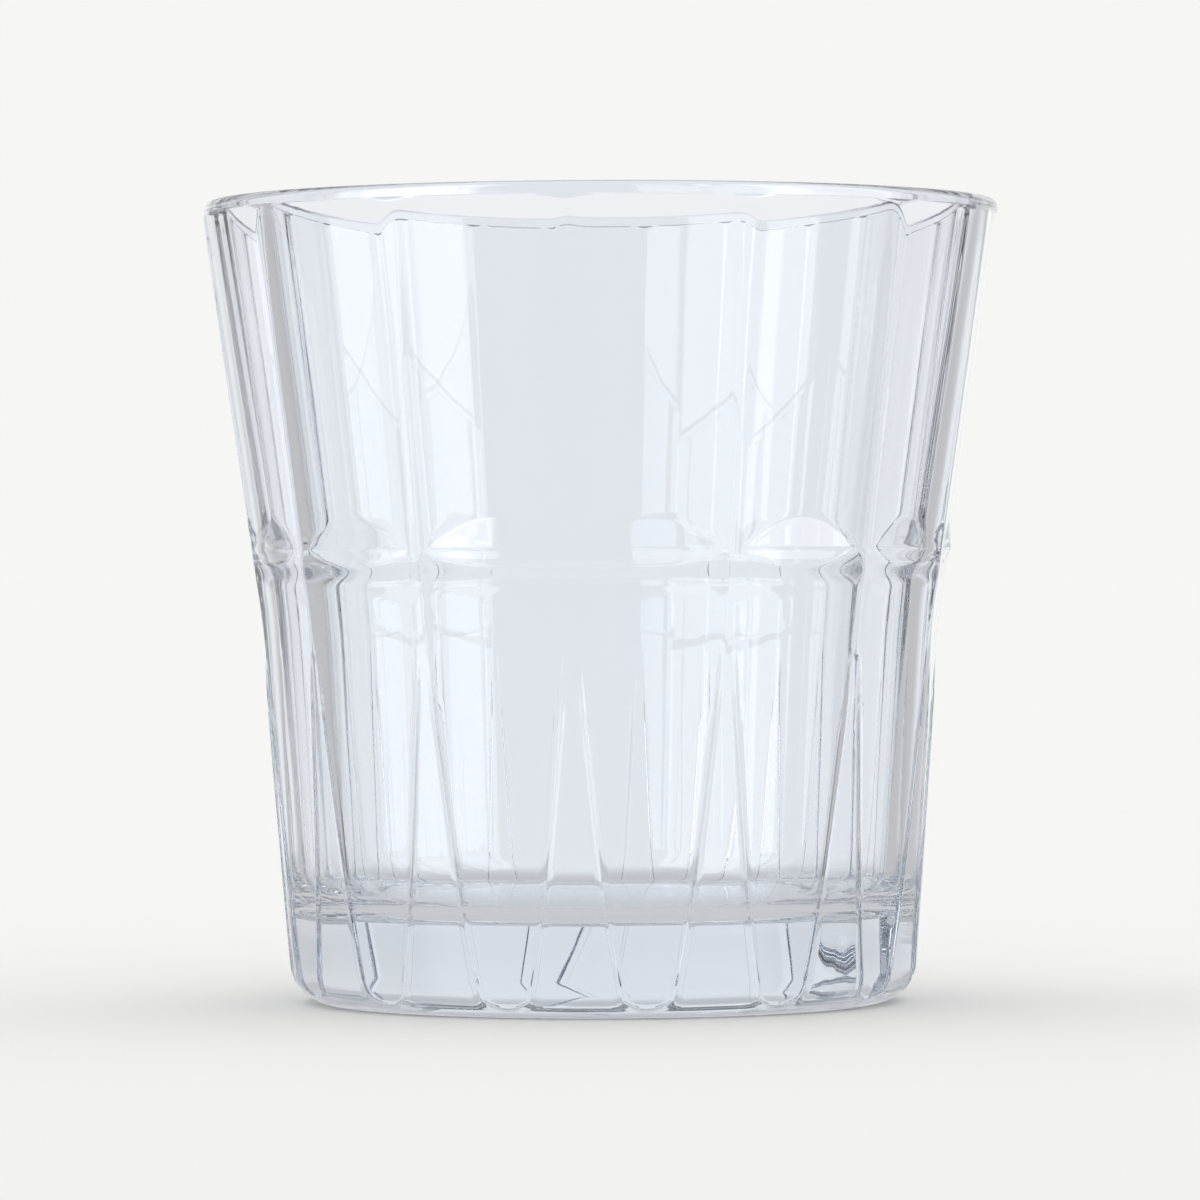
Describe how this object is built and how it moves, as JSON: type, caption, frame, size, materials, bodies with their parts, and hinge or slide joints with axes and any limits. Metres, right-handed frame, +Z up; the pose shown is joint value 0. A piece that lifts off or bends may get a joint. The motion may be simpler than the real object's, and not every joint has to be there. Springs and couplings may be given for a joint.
{
  "type": "juice glass",
  "caption": "Small clear pressed glass tumbler with flat facets above a belt, tapering tongue panels below it, and a thick solid base.",
  "frame": {"origin": "centre of the foot's underside, on the table that the glass stands on", "axes": "+Z up along the glass's axis; -Y is the side that the picture shows, and +X is its right"},
  "size_m": [0.0794, 0.0798, 0.08],
  "materials": {
    "clear_glass": "clear pressed soda-lime glass, fire-polished, with a faint cool tint"
  },
  "bodies": {
    "root": {"tumbler": "clear_glass"}
  },
  "joints": []
}
